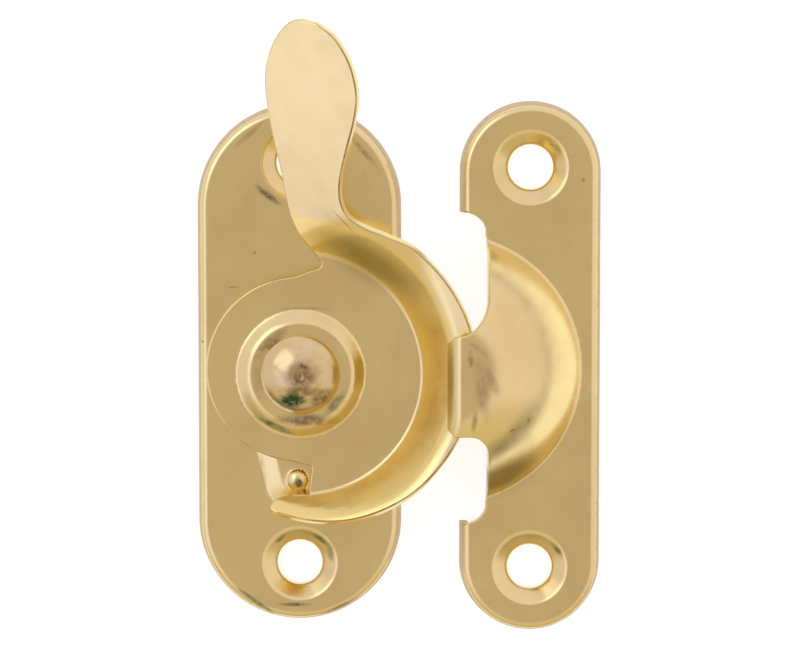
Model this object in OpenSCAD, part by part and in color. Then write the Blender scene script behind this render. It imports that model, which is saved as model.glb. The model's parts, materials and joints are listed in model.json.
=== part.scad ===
// Cam-action sash fastener: a lever with a spiral cam on a base plate, and a hooked keeper plate.
// Millimetres. The origin is the centre of the base plate's two screw holes, on the mounting face.
// +X points to the keeper, +Y along the plates to the lever's end, +Z out of the sash.

/* [Plates] */
// Thickness of both plates' sheet
plate_t = 1; // [0.8:0.1:1.2]
// Depth of both dished plates
plate_h = 3; // [2.8:0.1:3.4]
// Width of the base plate
base_w = 25.7; // [25:0.1:27]
// Length of the base plate
base_l = 65.6; // [64:0.2:70]
// Width of the keeper plate
keeper_w = 17.8; // [17:0.1:19]
// Length of the keeper plate
keeper_l = 67.3; // [66:0.2:70]

/* [Screw holes] */
// Distance between the two screws of each plate
screw_pitch = 50.8; // [50:0.1:51]
// Radius of a screw hole
screw_r = 2.85; // [2.5:0.05:3]
// Radius of the countersink at its top
sink_r = 4.65; // [4.4:0.05:4.8]

/* [Cam lever] */
// Thickness of the lever's sheet
lever_t = 1.2; // [1:0.1:1.3]
// Radius at which the flat disc turns up into the cam wall
disc_r = 15.2; // [15:0.1:15.3]
// Largest radius of the cam's rim
rim_r = 22.35; // [22:0.05:22.4]
// How much smaller the rim is at the tail
rim_draw = 4.2; // [3.8:0.1:4.3]
// Slope of the thumb tab, in degrees
tab_slope = 22; // [20:1:23]

/* [Keeper] */
// Distance from the base plate's centre line to the keeper's centre line
keeper_x = 29.13; // [29.1:0.05:30]
// Height of the top of the hood
hood_h = 12.4; // [12.3:0.1:13]

/* [Hidden] */
$fn = 64;

// Plates: the side leans in by this draft and turns over a rolled edge into the flat web.
draft = 8;
roll_r = 1.1;
inner_roll_r = 0.2;
web_z = plate_h - plate_t;
arc_steps = 5;
// Dimples: the sheet around a screw hole is pressed down to the mounting face.
sink_floor_z = 1.6;
dimple_foot_r = screw_r + plate_t;
dimple_top_r = sink_r + plate_t;

// Pivot, and the raised pad under the lever with a lobe that carries the stop nub.
pivot = [0.25, -0.9];
pad_h = 0.8;
pad_r = 7.8;
lobe_r = 4.2;
pad_ramp = 2.2;
pad_root = 0.4;
nub = [-0.45, -13.6];
nub_foot_r = 1.9;
nub_r = 1.3;
nub_top_z = 4.7;
nub_taper = 0.8;
pad_z = plate_h + pad_h;
pad_bend = plate_t * tan(atan(pad_h / pad_ramp) / 2);

// Rivet: shank in the base plate, shoulder in the lever, domed head.
shank_r = 2;
shank_gap = 0.02;
shoulder_r = 2.6;
running_gap = 0.05;
head_r = 4.95;
head_edge = 0.5;
head_rise = 2.2;
tail_r = 3.1;
tail_edge_r = 2.2;
tail_h = 0.9;
washer_r = 4.6;
washer_t = 0.5;
face_gap = 0.02;

// Lever: the disc floats just over the pad, the boss around the rivet houses the spring.
disc_under_z = pad_z + 0.1;
disc_z = disc_under_z + lever_t;
boss_h = 1.2;
boss_top_r = 6.5;
boss_foot_r = 8.05;
wall_top = [19.6, disc_z + 4.7];
wall_slope = atan2(wall_top[1] - disc_z, wall_top[0] - disc_r);
flange_slope = 14;
flange_end_r = 50;
head_z = disc_z + boss_h + running_gap;
shoulder_low_z = pad_z;
spring_t = 0.4;
spring_id_r = 3.1;
spring_od_r = 5.6;
spring_bow = 0.83;

// Lever outline, about the pivot.
rim_high = 15;
rim_low = -97;
rim_end = 44;
rim_power = 1.35;
rim_end_drop = 0.58;
edge_arc_centre = [-0.25, 0.5];
edge_arc_r = 11.65;
step_low = [[1.35, -11.75], [0.98, -15.15]];
tail_points = [[-0.9, -15.12], [-2.7, -15.5], [-3.75, -16.25], [-3.95, -16.9], [-3.3, -17.75]];
tab_right = [[13.88, 16.55], [10.4, 18.1], [8.2, 19], [6.4, 20.2], [5.5, 22], [5.45, 24.6], [6.2, 28.2],
             [7.1, 31.6], [7.55, 34.8], [7.15, 37.7], [6.2, 40.2], [4.6, 42.6], [2.4, 44.2]];
tab_left = [[0.4, 44.6], [-1.2, 44.1], [-2.6, 42.7], [-3.6, 40.8], [-4.25, 38.5], [-4.35, 36.2],
            [-4, 33], [-3.2, 28.9], [-2.4, 25.4], [-1.9, 22.4], [-1.2, 19.7], [-0.2, 17.6],
            [1.2, 15.7], [2.5, 14.1]];
step_high = [[2.65, 13.75], [2.5, 13.4], [2, 13.15], [1, 12.85], [0.1, 12.5]];
edge_arc_from = 93;
edge_arc_to = 262;
tab_side = 25;
tab_base_z = 3.34;
tab_from_y = 3;
far = 120;

// Keeper: a hood of revolution that stands on the plate, cut by a notch, with a hooked tongue.
keeper_y = -0.57;
keeper_at = [keeper_x, keeper_y];
hood_x = -10.7;
hood_r = 17;
hood_flat_r = 5;
hood_power = 1.8;
hood_rise = hood_h - plate_h;
hood_steps = 12;
mouth_x = -5.7;
mouth_y = 17.8;
notch_y = 19.7;
notch_flat = 1;
notch_fillet = [1.6, 0.9];
tongue_y = [-7.7, 5];
tongue_x = -11.4;
tongue_fillet = 2;
tongue_sweep = [3.6, 4.4];
tongue_taper = 0.9;
lip_slope = 54;
lip_bend_x = -9.35;
lip_reach = 2.1;
lip_cut = 3;

// Points of an arc of radius r about c, from angle a to angle b.
function arc(c, r, a, b, n) =
    [for (i = [0:n]) let (turn = a + (b - a) * i / n) c + r * [cos(turn), sin(turn)]];

// A point on the smooth curve through p, between p[i] and p[i + 1].
function curve_point(p, i, t) =
    let (a = p[max(i - 1, 0)], b = p[i], c = p[i + 1], d = p[min(i + 2, len(p) - 1)])
    0.5 * (2 * b + (c - a) * t
        + (2 * a - 5 * b + 4 * c - d) * t * t
        + (3 * b - a - 3 * c + d) * t * t * t);
function curve(p, n) = concat(
    [for (i = [0:len(p) - 2]) for (j = [0:n - 1]) curve_point(p, i, j / n)],
    [p[len(p) - 1]]);

// Side of a dished plate's section, from its foot up to the web: half width, height, edge radius.
function tray_side(half, h, r) =
    let (centre = [half - (h - r) * tan(draft) - r / cos(draft), h - r])
    concat([[half, 0]], arc(centre, r, draft, 90, arc_steps));
function mirrored(p) = [for (i = [len(p) - 1:-1:0]) [-p[i][0], p[i][1]]];

// Radius of the cam's rim at an angle about the pivot.
function rim(a) = a < rim_high
    ? rim_r - rim_draw * pow((rim_high - a) / (rim_high - rim_low), rim_power)
    : rim_r - rim_end_drop * pow((a - rim_high) / (rim_end - rim_high), rim_power);

// Height and slope of the hood at a distance from its axis.
function hood_u(q) = max(0, (q - hood_flat_r) / (hood_r - hood_flat_r));
function hood_z(q) = plate_h + hood_rise * (1 - pow(hood_u(q), hood_power));
function hood_slope(q) =
    atan(hood_rise * hood_power * pow(hood_u(q), hood_power - 1) / (hood_r - hood_flat_r));

// Solid dished shape of a plate; the sheet is one of these less a smaller one.
module tray(w, l, h, r) {
    straight = l - w;
    side = tray_side(w / 2, h, r);
    rotate([90, 0, 0]) linear_extrude(straight, center = true)
        polygon(concat(side, mirrored(side)));
    for (turn = [0, 180]) rotate([0, 0, turn]) translate([0, straight / 2, 0])
        rotate_extrude(angle = 180, start = 0) polygon(concat([[0, 0]], side, [[0, h]]));
}

module tray_outside(w, l) {
    tray(w, l, plate_h, roll_r);
}

module tray_inside(w, l) {
    wall = plate_t / cos(draft);
    tray(w - 2 * wall, l - 2 * wall, web_z, inner_roll_r);
}

module at_screws() {
    for (y = [-screw_pitch / 2, screw_pitch / 2]) translate([0, y, 0]) children();
}

module dimple_back() {
    at_screws() cylinder(web_z + plate_t / 2, dimple_foot_r, dimple_top_r + plate_t / 4);
}

module dimple_bore() {
    at_screws() {
        translate([0, 0, -1]) cylinder(plate_h + 2, screw_r, screw_r);
        translate([0, 0, sink_floor_z]) cylinder(plate_h - sink_floor_z, screw_r, sink_r);
        translate([0, 0, plate_h]) cylinder(1, sink_r, sink_r);
    }
}

// The pad up to top_z: frustums about the pivot and about the nub, and the flat flanks between them.
module pad_solid(top_z, inset) {
    foot = (pad_h + pad_root) * pad_ramp / pad_h;
    r0 = pad_r - pad_ramp - inset;
    r1 = lobe_r - pad_ramp - inset;
    along = atan2(nub[1], nub[0]);
    lean = 90 - asin((r0 - r1) / norm(nub));
    left = [cos(along + lean), sin(along + lean)];
    right = [cos(along - lean), sin(along - lean)];
    top = [r0 * left, nub + r1 * left, nub + r1 * right, r0 * right];
    low = [top[0] + foot * left, top[1] + foot * left, top[2] + foot * right, top[3] + foot * right];
    translate([pivot[0], pivot[1], top_z - pad_h - pad_root]) {
        cylinder(pad_h + pad_root, r0 + foot, r0);
        translate(nub) cylinder(pad_h + pad_root, r1 + foot, r1);
        polyhedron(
            points = concat(
                [for (p = low) [p[0], p[1], 0]],
                [for (p = top) [p[0], p[1], pad_h + pad_root]]),
            faces = [[0, 1, 2, 3], [7, 6, 5, 4], [0, 4, 5, 1], [1, 5, 6, 2], [2, 6, 7, 3], [3, 7, 4, 0]]);
    }
}

module stop_nub() {
    translate([pivot[0] + nub[0], pivot[1] + nub[1], 0]) rotate_extrude() polygon([
        [0, pad_z - plate_t / 2], [nub_foot_r, pad_z - plate_t / 2], [nub_foot_r, pad_z],
        [nub_r, disc_under_z], [nub_r * nub_taper, nub_top_z], [0, nub_top_z]]);
}

module base_plate() {
    color([0.78, 0.66, 0.38]) difference() {
        union() {
            difference() {
                tray_outside(base_w, base_l);
                tray_inside(base_w, base_l);
            }
            dimple_back();
            pad_solid(pad_z, 0);
            stop_nub();
        }
        dimple_bore();
        pad_solid(pad_z - plate_t, pad_bend);
        translate([pivot[0], pivot[1], 0]) cylinder(far, shank_r + shank_gap, shank_r + shank_gap);
    }
}

// Outline of the lever's blank, seen from the front.
module lever_outline() {
    polygon(concat(
        step_low,
        curve(tail_points, 3),
        [for (i = [0:40]) let (a = rim_low + (rim_end - rim_low) * i / 40) rim(a) * [cos(a), sin(a)]],
        curve(concat([rim(rim_end) * [cos(rim_end), sin(rim_end)]], tab_right), 3),
        curve(tab_left, 3),
        step_high,
        arc(edge_arc_centre, edge_arc_r, edge_arc_from, edge_arc_to, 36)));
}

// Everything under the lever's upper face (drop = 0) or under its lower face (drop = lever_t).
module under_lever(drop) {
    bend = drop * tan(wall_slope / 2);
    half_turn = (wall_slope - flange_slope) / 2;
    mean = (wall_slope + flange_slope) / 2;
    knee = wall_top + drop / cos(half_turn) * [sin(mean), -cos(mean)];
    boss_slope = atan(boss_h / (boss_foot_r - boss_top_r));
    boss_in = drop * tan(boss_slope / 2);
    top_z = disc_z + boss_h - drop;
    intersection() {
        rotate_extrude() polygon([
            [0, -1], [flange_end_r, -1],
            [flange_end_r, knee[1] + (flange_end_r - knee[0]) * tan(flange_slope)],
            knee, [disc_r + bend, disc_z - drop], [boss_foot_r - boss_in, disc_z - drop],
            [boss_top_r - boss_in, top_z], [0, top_z]]);
        union() {
            translate([-far / 2, -far, -2]) cube([far, far + tab_from_y, far]);
            translate([0, 0, -2]) cylinder(far, disc_r, disc_r);
            rotate([0, 0, tab_side]) translate([0, 0, tab_base_z]) rotate([0, -tab_slope, 0])
                translate([-far, -far, -far - drop]) cube([2 * far, 2 * far, far]);
        }
    }
}

module cam_lever() {
    color([0.82, 0.68, 0.36]) translate([pivot[0], pivot[1], 0]) difference() {
        intersection() {
            linear_extrude(far) lever_outline();
            under_lever(0);
        }
        under_lever(lever_t);
        cylinder(far, shoulder_r + running_gap, shoulder_r + running_gap);
    }
}

// Rivet: clinched tail, shank, shoulder and domed head, turned about the pivot.
module pivot_rivet() {
    washer_low_z = pad_z - plate_t - washer_t - 2 * face_gap;
    tail_top_z = washer_low_z - face_gap;
    dome_r = (head_r * head_r + head_rise * head_rise) / (2 * head_rise);
    dome_c = [0, head_z + head_edge + head_rise - dome_r];
    edge_angle = acos(head_r / dome_r);
    color([0.75, 0.64, 0.42]) translate([pivot[0], pivot[1], 0]) rotate_extrude() polygon(concat(
        [[0, tail_top_z - tail_h], [tail_edge_r, tail_top_z - tail_h], [tail_r, tail_top_z - tail_h / 2],
         [tail_r, tail_top_z], [shank_r, tail_top_z], [shank_r, shoulder_low_z],
         [shoulder_r, shoulder_low_z], [shoulder_r, head_z], [head_r, head_z]],
        arc(dome_c, dome_r, edge_angle, 90, 10)));
}

// Dished spring washer: pushes the lever up against the rivet's head, inside the boss.
module friction_spring() {
    low_z = pad_z + face_gap;
    color([0.7, 0.7, 0.7]) translate([pivot[0], pivot[1], 0]) rotate_extrude() polygon([
        [spring_id_r, low_z + spring_bow], [spring_od_r, low_z],
        [spring_od_r, low_z + spring_t], [spring_id_r, low_z + spring_bow + spring_t]]);
}

// Plain washer that the rivet's tail is clinched on, inside the dished base.
module back_washer() {
    top_z = pad_z - plate_t - face_gap;
    color([0.7, 0.7, 0.7]) translate([pivot[0], pivot[1], top_z - washer_t]) difference() {
        cylinder(washer_t, washer_r, washer_r);
        translate([0, 0, -1]) cylinder(washer_t + 2, shank_r + shank_gap, shank_r + shank_gap);
    }
}

// Outline of the keeper's blank: the plate less its notch, and the tongue.
module keeper_outline() {
    half_w = keeper_w / 2;
    straight = keeper_l / 2 - half_w;
    flat_x = notch_flat - half_w;
    fillet_x = flat_x + notch_fillet[0];
    low = tongue_y[0];
    high = tongue_y[1];
    polygon(concat(
        arc([0, straight], half_w, 0, 180, 32),
        [[-half_w, notch_y], [flat_x, notch_y]],
        [[fillet_x, notch_y - notch_fillet[1]], [mouth_x, mouth_y]],
        [for (turn = [0:10:90])
            [mouth_x + tongue_sweep[0] * (cos(turn) - 1), high + tongue_sweep[1] * (1 - sin(turn))]],
        [[lip_bend_x, high], [tongue_x, high - tongue_taper]],
        [[tongue_x, low + tongue_taper], [lip_bend_x, low]],
        arc([mouth_x - tongue_fillet, low - tongue_fillet], tongue_fillet, 90, 0, 6),
        [[mouth_x, -mouth_y], [fillet_x, notch_fillet[1] - notch_y]],
        [[flat_x, -notch_y], [-half_w, -notch_y]],
        arc([0, -straight], half_w, 180, 360, 32)));
}

// Solid of revolution under the hood's outer face (drop = 0) or inner face (drop = plate_t).
module under_hood(drop) {
    step = (hood_r - hood_flat_r) / hood_steps;
    translate([hood_x, 0, 0]) rotate_extrude() polygon(concat(
        [[0, -1], [hood_r - drop, -1]],
        [for (i = [hood_steps:-1:0]) let (q = hood_flat_r + i * step, s = hood_slope(q))
            [q - drop * sin(s), hood_z(q) - drop * cos(s)]],
        [[0, hood_h - drop]]));
}

// Places its child on the lip's outer face, with x up along the slope and z outwards.
module on_lip() {
    translate([lip_bend_x, 0, hood_h]) rotate([0, -lip_slope, 0]) children();
}

// Half space behind the sloping lip, moved in by drop.
module behind_lip(drop) {
    on_lip() translate([-far, -far, -far - drop]) cube([2 * far, 2 * far, far]);
}

// What is cut off the lip's end, square to its sheet.
module lip_end() {
    on_lip() translate([-lip_reach - lip_cut, -keeper_w, -lip_cut / 2])
        cube([lip_cut, 2 * keeper_w, lip_cut]);
}

module keeper() {
    color([0.78, 0.66, 0.38]) translate([keeper_at[0], keeper_at[1], 0]) difference() {
        union() {
            intersection() {
                linear_extrude(far) keeper_outline();
                difference() {
                    union() {
                        tray_outside(keeper_w, keeper_l);
                        intersection() {
                            under_hood(0);
                            behind_lip(0);
                        }
                    }
                    tray_inside(keeper_w, keeper_l);
                    intersection() {
                        under_hood(plate_t);
                        behind_lip(plate_t);
                    }
                }
            }
            dimple_back();
        }
        dimple_bore();
        lip_end();
    }
}

base_plate();
cam_lever();
pivot_rivet();
friction_spring();
back_washer();
keeper();
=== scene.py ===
import json
import math

import bpy
import numpy as np
from mathutils import Matrix, Vector, geometry


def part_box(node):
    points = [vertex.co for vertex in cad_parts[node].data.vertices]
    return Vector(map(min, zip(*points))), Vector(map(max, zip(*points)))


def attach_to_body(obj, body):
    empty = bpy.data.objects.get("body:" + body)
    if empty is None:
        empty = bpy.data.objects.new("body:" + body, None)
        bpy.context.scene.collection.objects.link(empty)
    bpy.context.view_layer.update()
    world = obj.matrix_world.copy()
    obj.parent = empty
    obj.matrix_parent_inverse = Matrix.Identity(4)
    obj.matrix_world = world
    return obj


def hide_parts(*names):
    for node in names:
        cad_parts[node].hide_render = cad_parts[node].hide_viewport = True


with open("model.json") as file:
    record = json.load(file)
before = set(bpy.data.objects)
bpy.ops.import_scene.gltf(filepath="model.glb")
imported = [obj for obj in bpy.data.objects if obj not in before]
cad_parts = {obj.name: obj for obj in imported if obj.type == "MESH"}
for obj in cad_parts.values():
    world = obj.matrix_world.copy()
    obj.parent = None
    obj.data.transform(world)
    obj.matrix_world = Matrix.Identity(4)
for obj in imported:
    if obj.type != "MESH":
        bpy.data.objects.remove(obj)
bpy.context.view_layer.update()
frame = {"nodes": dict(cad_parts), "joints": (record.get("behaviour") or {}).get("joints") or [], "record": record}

MM = 0.001
UP = np.array([0.0, 0.0, 1.0])

# ---------------------------------------------------------------- dimensions from the frame


def node_box(node):
    low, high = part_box(node)
    return np.array(low) / MM, np.array(high) / MM


record = frame["record"]
mounts = {m["name"]: m for m in record["mounts"]}
joints = {j["name"]: j for j in frame["joints"]}
pivot = np.array(joints["lever_turn"]["pos_m"][:2]) / MM
screw_pitch = mounts["base_screws"]["dims"]["spacing_y_mm"]
screw_r = mounts["base_screws"]["dims"]["hole_r_mm"]
base_at = np.array(mounts["base_screws"]["pos_m"][:2]) / MM
keeper_at = np.array(mounts["keeper_screws"]["pos_m"][:2]) / MM
base_low, base_high = node_box("base_plate")
keeper_low, keeper_high = node_box("keeper")
base_size = (base_high - base_low)[:2]
keeper_size = np.array([2 * (keeper_high[0] - keeper_at[0]), keeper_high[1] - keeper_low[1]])
hood_h = keeper_high[2]

# Sheet and dished plates
plate_t = 1.0
plate_h = 3.0
draft = math.radians(8)
roll_r = 1.1
sink_floor = 1.6
sink_r = 4.65

# Pad and stop nub pressed up in the base plate, about the pivot
pad_h = 0.8
pad_r = 7.8
lobe_r = 4.2
pad_ramp = 2.2
nub = np.array([-0.45, -13.6])
nub_foot_r = 1.9
nub_r = 1.3
nub_h = 0.9

# Lever, about the pivot
lever_t = 1.2
disc_z = plate_h + pad_h + 0.1 + lever_t
boss_h = 1.2
boss_top_r = 6.5
boss_foot_r = 8.05
disc_r = 15.2
wall_top_r = 19.6
wall_rise = 4.7
flange_tan = math.tan(math.radians(14))
flange_least = 0.75
rim_r = 22.35
rim_draw = 4.2
rim_high, rim_low, rim_end = 15.0, -97.0, 44.0
rim_power = 1.35
rim_end_drop = 0.58
edge_arc_centre = np.array([-0.25, 0.5])
edge_arc_r = 11.65
step_low = [[1.35, -11.75], [0.98, -15.15]]
tail_points = [[-0.9, -15.12], [-2.7, -15.5], [-3.75, -16.25], [-3.95, -16.9], [-3.3, -17.75]]
tab_right = [[13.88, 16.55], [10.4, 18.1], [8.2, 19], [6.4, 20.2], [5.5, 22], [5.45, 24.6], [6.2, 28.2],
             [7.1, 31.6], [7.55, 34.8], [7.15, 37.7], [6.2, 40.2], [4.6, 42.6], [2.4, 44.2]]
tab_left = [[0.4, 44.6], [-1.2, 44.1], [-2.6, 42.7], [-3.6, 40.8], [-4.25, 38.5], [-4.35, 36.2],
            [-4, 33], [-3.2, 28.9], [-2.4, 25.4], [-1.9, 22.4], [-1.2, 19.7], [-0.2, 17.6],
            [1.2, 15.7], [2.5, 14.1]]
step_high = [[2.65, 13.75], [2.5, 13.4], [2, 13.15], [1, 12.85], [0.1, 12.5]]
tab_side = math.radians(25)
tab_tan = math.tan(math.radians(22))
tab_base_z = 3.34
tab_from_y = 3.0
bore_r = 2.65

# Rivet
shank_r = 2.0
shoulder_r = 2.6
rivet_hole_r = 2.05

# Keeper, about its own centre
hood_x = -10.7
hood_r = 17.0
hood_flat_r = 5.0
hood_power = 1.8
mouth_x = -5.7
mouth_y = 17.8
notch_y = 19.7
tongue_low, tongue_high = -7.7, 5.0
lip_bend_x = -9.35
lip_tan = math.tan(math.radians(54))
lip_end_x = lip_bend_x - 2.1 * math.cos(math.radians(54))
tongue_fillet = 2.0
tongue_sweep = np.array([3.6, 4.4])
tongue_taper_from = -9.5

# Sheared sheet edges are rounded by this radius, in rows at these turns from the face.
edge_r = 0.24
edge_turns = (20, 45, 90)

# ---------------------------------------------------------------- curves and smooth shapes


def smooth_min(a, b, k):
    """Lower of two heights, blended where they are within k of each other."""
    h = np.maximum(k - np.abs(a - b), 0) / k
    return np.minimum(a, b) - h * h * k / 4


def smooth_max(a, b, k):
    return -smooth_min(-a, -b, k)


def smooth_step(x):
    x = np.clip(x, 0, 1)
    return x * x * (3 - 2 * x)


def arc(centre, r, start, end, count):
    """Points on an arc; the angles are in degrees."""
    a = np.radians(np.linspace(start, end, count))
    return np.array(centre) + r * np.stack([np.cos(a), np.sin(a)], 1)


def curve(points, steps):
    """Catmull-Rom curve through points, as in the CAD."""
    p = np.array(points, float)
    padded = np.vstack([p[:1], p, p[-1:]])
    out = []
    for i in range(len(p) - 1):
        a, b, c, d = padded[i:i + 4]
        for t in np.arange(steps) / steps:
            out.append(0.5 * (2 * b + (c - a) * t + (2 * a - 5 * b + 4 * c - d) * t ** 2
                              + (3 * b - a - 3 * c + d) * t ** 3))
    return np.array(out + [p[-1]])


def resample(loop, gap, corner=40):
    """Closed loop with points about gap apart; corners sharper than so many degrees stay."""
    loop = loop[np.linalg.norm(loop - np.roll(loop, -1, 0), axis=1) > 1e-6]
    ahead = np.roll(loop, -1, 0) - loop
    behind = loop - np.roll(loop, 1, 0)
    cross = behind[:, 0] * ahead[:, 1] - behind[:, 1] * ahead[:, 0]
    turn = np.degrees(np.abs(np.arctan2(cross, (behind * ahead).sum(1))))
    corners = np.flatnonzero(turn > corner)
    out = []
    for start, end in zip(corners, np.roll(corners, -1)):
        run = loop[start:end + 1] if end > start else np.vstack([loop[start:], loop[:end + 1]])
        at = np.concatenate([[0], np.cumsum(np.linalg.norm(np.diff(run, axis=0), axis=1))])
        s = np.linspace(0, at[-1], max(int(at[-1] / gap), 1) + 1)[:-1]
        out.append(np.stack([np.interp(s, at, run[:, 0]), np.interp(s, at, run[:, 1])], 1))
    return np.vstack(out)


def blur(values, width):
    """Running average along a closed loop."""
    total = sum(np.roll(values, k, 0) for k in range(-width, width + 1))
    return total / (2 * width + 1)


def outward(loop):
    """Unit vectors that leave the material, to the right of the way the loop runs."""
    tangent = np.roll(loop, -1, 0) - np.roll(loop, 1, 0)
    tangent /= np.linalg.norm(tangent, axis=1)[:, None]
    return np.stack([tangent[:, 1], -tangent[:, 0]], 1)


def inside(points, loop):
    """Which points lie inside a closed loop."""
    x, y = points[:, 0], points[:, 1]
    hit = np.zeros(len(points), bool)
    for (x0, y0), (x1, y1) in zip(loop, np.roll(loop, -1, 0)):
        if y0 != y1:
            crosses = (y0 > y) != (y1 > y)
            hit ^= crosses & (x < (x1 - x0) * (y - y0) / (y1 - y0) + x0)
    return hit


def rings(centre, radii, count):
    return np.vstack([arc(centre, r, 0, 360 * (1 - 1 / count), count) for r in radii])


def grid(x0, x1, y0, y1, gap):
    """Points of a triangular grid over a rectangle."""
    rows = np.arange(y0, y1, gap * 0.866)
    cols = np.arange(x0, x1, gap)
    shifted = [(cols + (i % 2) * gap / 2, np.full(len(cols), y)) for i, y in enumerate(rows)]
    return np.vstack([np.stack(row, 1) for row in shifted])


# ---------------------------------------------------------------- pressed sheet


class Edge:
    """A boundary of a pressed sheet. kind is sheared (rounded edge), foot (stands on z = 0) or bore."""

    def __init__(self, loop, kinds):
        self.loop = loop
        self.kinds = np.array([kinds] * len(loop)) if isinstance(kinds, str) else np.array(kinds)


def slope(height, xy):
    """Gradient of a height function at points."""
    h = 0.004
    gx = (height(xy + [h, 0]) - height(xy - [h, 0])) / (2 * h)
    gy = (height(xy + [0, h]) - height(xy - [0, h])) / (2 * h)
    return np.stack([gx, gy], 1)


def normals(height, xy):
    g = slope(height, xy)
    n = np.stack([-g[:, 0], -g[:, 1], np.ones(len(xy))], 1)
    return n / np.linalg.norm(n, axis=1)[:, None]


def lift(height, xy):
    return np.column_stack([xy, height(xy)])


def thin(points, taken, gap):
    """Leaves out points that are closer than gap to one that came before."""
    cells = {}
    kept = []
    for source, is_new in ((taken, False), (points, True)):
        for x, y in source:
            key = (int(math.floor(x / gap)), int(math.floor(y / gap)))
            around = [(key[0] + i, key[1] + j) for i in (-1, 0, 1) for j in (-1, 0, 1)]
            near = (q for cell in around for q in cells.get(cell, ()))
            if is_new and any((x - a) ** 2 + (y - b) ** 2 < gap * gap for a, b in near):
                continue
            cells.setdefault(key, []).append((x, y))
            if is_new:
                kept.append((x, y))
    return np.array(kept).reshape(-1, 2)


def within(points, outer, holes):
    """Which points lie inside an outline and outside its holes."""
    good = inside(points, outer)
    for hole in holes:
        good &= ~inside(points, hole)
    return good


def inset_loop(height, edge, t):
    """A boundary moved in to where its edge's rounding starts, and its outward vectors."""
    out = outward(edge.loop)
    rise = np.arctan((slope(height, edge.loop) * out).sum(1))
    inset = np.maximum(t * np.sin(rise), 0) + edge_r * np.cos(rise)
    inset = np.where(edge.kinds == "sheared", blur(inset, 2), 0)
    return edge.loop - inset[:, None] * out, out


def inner_points(loops, outs, points, gap):
    """Rows of points beside each boundary, then the given points, none closer than gap."""
    outer, holes = loops[0], loops[1:]
    beside = []
    for loop, out in zip(loops, outs):
        for step, skip in ((gap * 1.6, 1), (gap * 4, 2)):
            row = (loop - step * out)[::skip]
            beside.append(row[within(row, outer, holes)])
    return thin(np.vstack(beside + [points[within(points, outer, holes)]]), np.vstack(loops), gap)


def triangulate(loops, inner):
    """Points and counter-clockwise triangles of a flat sheet, and the numbers of each loop's points."""
    outer, holes = loops[0], loops[1:]
    xy = np.vstack(loops + [inner])
    pairs, start = [], 0
    for loop in loops:
        n = len(loop)
        pairs += [(start + i, start + (i + 1) % n) for i in range(n)]
        start += n
    cdt = geometry.delaunay_2d_cdt([Vector(p) for p in xy], pairs, [], 0, 1e-5)
    flat = np.array([v[:] for v in cdt[0]])
    faces = np.array([f[:] for f in cdt[2]])
    origin = np.full(len(xy), -1)
    for i, sources in enumerate(cdt[3]):
        for source in sources:
            origin[source] = i
    faces = faces[within(flat[faces].mean(1), outer, holes)]
    used = np.unique(faces)
    remap = np.full(len(flat), -1)
    remap[used] = np.arange(len(used))
    flat, faces = flat[used], remap[faces]
    a, b, c = flat[faces[:, 0]], flat[faces[:, 1]], flat[faces[:, 2]]
    turned = (b[:, 0] - a[:, 0]) * (c[:, 1] - a[:, 1]) - (b[:, 1] - a[:, 1]) * (c[:, 0] - a[:, 0]) < 0
    faces[turned] = faces[turned][:, ::-1]
    ends = np.cumsum([len(loop) for loop in loops])
    return flat, faces, np.split(remap[origin[:ends[-1]]], ends[:-1])


def edge_rows(edge, out, face, normal, back, t):
    """Rows of points between a sheet's face and back along a boundary, and the normals of all rows.

    Sheared edges are rounded; a foot and a bore's wall run straight from face to back.
    """
    flat_out = np.column_stack([out, np.zeros(len(out))])
    leave = flat_out - (flat_out * normal).sum(1)[:, None] * normal
    leave /= np.linalg.norm(leave, axis=1)[:, None]
    turns = np.radians(edge_turns)
    rows, row_normals = [], []
    for a in turns:
        rows.append(face + edge_r * math.sin(a) * leave - edge_r * (1 - math.cos(a)) * normal)
        row_normals.append(math.cos(a) * normal + math.sin(a) * leave)
    for a in turns[::-1]:
        rows.append(face - t * normal + edge_r * math.sin(a) * leave + edge_r * (1 - math.cos(a)) * normal)
        row_normals.append(-math.cos(a) * normal + math.sin(a) * leave)
    is_bore = edge.kinds == "bore"
    is_foot = edge.kinds == "foot"
    straight = is_bore | is_foot
    for k, row in enumerate(rows):
        share = (k + 1) / (len(rows) + 1)
        row[straight] = (face + (back - face) * share)[straight]
    row_normals = [normal.copy()] + row_normals + [-normal]
    for row in row_normals:
        row[is_bore] = flat_out[is_bore]
        row[is_foot] = -UP
    return rows, row_normals


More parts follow.
